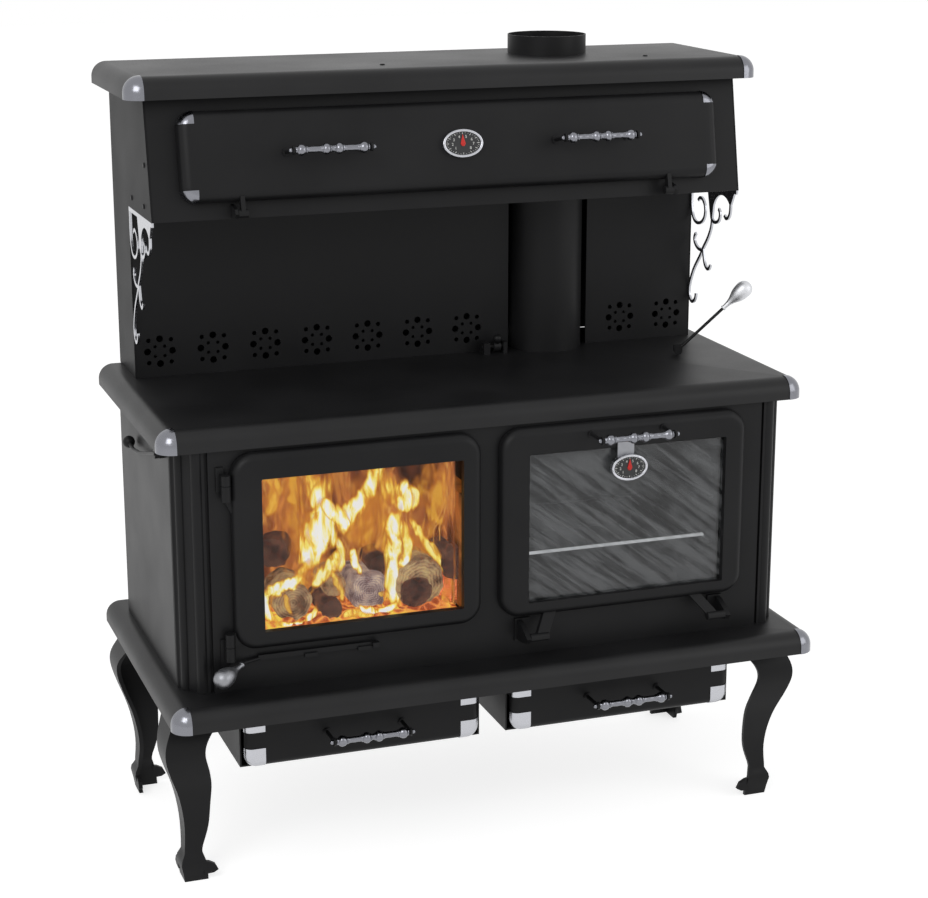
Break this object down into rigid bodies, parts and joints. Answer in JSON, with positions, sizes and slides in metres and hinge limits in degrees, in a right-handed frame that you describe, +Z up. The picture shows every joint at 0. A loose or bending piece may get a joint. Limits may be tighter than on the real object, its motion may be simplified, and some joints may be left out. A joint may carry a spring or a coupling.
{
  "type": "wood cookstove",
  "caption": "Free-standing wood cookstove with glazed firebox and oven doors, a cooktop, a warming cabinet, drawers and curved legs.",
  "frame": {"origin": "on the floor, under the centre of the stove's box", "axes": "+X to the stove's right seen from the front, +Y to its back, +Z up"},
  "size_m": [1.2546, 0.6482, 1.485],
  "materials": {
    "black_casting": "satin black stove paint on cast iron",
    "black_sheet": "satin black stove paint on sheet steel",
    "chrome": "polished nickel-chrome plate",
    "door_glass": "clear ceramic glass",
    "firebox_steel": "heat-darkened steel plate",
    "firebrick": "fired clay brick",
    "raw_iron": "bare cast iron",
    "oven_steel": "dull steel sheet",
    "rack_wire": "plated wire",
    "rope_gasket": "woven glass-fibre rope",
    "needle_red": "red paint"
  },
  "bodies": {
    "stove": {"front_legs": "black_casting", "rear_legs": "black_casting", "base_plate": "black_casting", "cooktop": "black_casting", "top_shelf": "black_casting", "plate_corner_caps": "chrome", "left_side_panel": "black_sheet", "right_side_panel": "black_sheet", "rear_panel": "black_sheet", "front_plate": "black_casting", "corner_columns": "black_casting", "firebox_shell": "firebox_steel", "firebricks": "firebrick", "fire_grate": "raw_iron", "smoke_baffle": "firebox_steel", "oven_box": "oven_steel", "back_panel_left": "black_sheet", "back_panel_right": "black_sheet", "upper_side_left": "black_sheet", "upper_side_right": "black_sheet", "rear_heat_shield": "black_sheet", "flue_pipe": "black_sheet", "flue_collar": "black_casting", "warming_cabinet_shell": "black_sheet", "scroll_brackets": "black_casting", "drawer_housings": "black_sheet", "fire_door_hinge_lugs": "black_casting", "oven_hinge_lugs": "black_casting", "warming_hinge_lugs": "black_casting", "panel_screws": "black_casting", "air_slide_guides": "black_casting", "lever_brackets": "black_casting"},
    "fire_door": {"fire_door_frame": "black_casting", "fire_door_glass": "door_glass", "fire_door_gasket": "rope_gasket"},
    "oven_door": {"oven_door_frame": "black_casting", "oven_door_glass": "door_glass", "oven_door_grip": "chrome", "oven_thermometer": "chrome"},
    "oven_needle": {"oven_thermometer_needle": "needle_red"},
    "warming_door": {"warming_door_pan": "black_casting", "warming_door_corner_caps": "chrome", "warming_door_grips": "chrome", "warming_thermometer": "chrome"},
    "warming_needle": {"warming_thermometer_needle": "needle_red"},
    "left_drawer": {"left_drawer_front": "black_casting", "left_drawer_tray": "black_sheet", "left_drawer_corner_caps": "chrome", "left_drawer_grip": "chrome"},
    "right_drawer": {"right_drawer_front": "black_casting", "right_drawer_tray": "black_sheet", "right_drawer_corner_caps": "chrome", "right_drawer_grip": "chrome"},
    "air_control": {"air_slide": "black_casting", "air_slide_knob": "chrome"},
    "left_lever": {"side_lever": "black_casting"},
    "oven_damper": {"damper_lever": "black_casting", "damper_knob": "chrome"},
    "bypass": {"bypass_handle": "black_casting"},
    "rack": {"oven_rack": "rack_wire"}
  },
  "joints": [
    {"name": "fire_door_hinge", "type": "hinge", "parent": "stove", "child": "fire_door", "pos_m": [-0.507, -0.252, 0.63], "axis": [0, 0, -1], "range_deg": [0, 110]},
    {"name": "oven_door_hinge", "type": "hinge", "parent": "stove", "child": "oven_door", "pos_m": [0.2485, -0.285, 0.427], "axis": [1, 0, 0], "range_deg": [0, 90]},
    {"name": "warming_door_hinge", "type": "hinge", "parent": "stove", "child": "warming_door", "pos_m": [0, -0.058, 1.207], "axis": [1, 0, 0], "range_deg": [0, 90]},
    {"name": "left_drawer_slide", "type": "slide", "parent": "stove", "child": "left_drawer", "axis": [0, -1, 0], "range_m": [0, 0.3]},
    {"name": "right_drawer_slide", "type": "slide", "parent": "stove", "child": "right_drawer", "axis": [0, -1, 0], "range_m": [0, 0.3]},
    {"name": "air_control_slide", "type": "slide", "parent": "stove", "child": "air_control", "axis": [1, 0, 0], "range_m": [0, 0.06]},
    {"name": "side_lever_swing", "type": "hinge", "parent": "stove", "child": "left_lever", "pos_m": [-0.606, -0.15, 0.806], "axis": [-1, 0, 0], "range_deg": [0, 20]},
    {"name": "oven_damper_swing", "type": "hinge", "parent": "stove", "child": "oven_damper", "pos_m": [0.47521, 0.01215, 0.876], "axis": [-0.269, -0.9631, 0], "range_deg": [0, 60]},
    {"name": "bypass_turn", "type": "hinge", "parent": "stove", "child": "bypass", "pos_m": [0.143, 0.15, 0.88], "axis": [1, 0, 0], "range_deg": [0, 60]},
    {"name": "oven_needle_turn", "type": "hinge", "parent": "oven_door", "child": "oven_needle", "pos_m": [0.25, -0.264, 0.732], "axis": [0, 1, 0], "range_deg": [-120, 120]},
    {"name": "warming_needle_turn", "type": "hinge", "parent": "warming_door", "child": "warming_needle", "pos_m": [0.002, -0.04445, 1.31135], "axis": [0, 0.9819, -0.1893], "range_deg": [-120, 120]},
    {"name": "oven_rack_slide", "type": "slide", "parent": "stove", "child": "rack", "axis": [0, 1, 0], "range_m": [0, 0.05]}
  ]
}
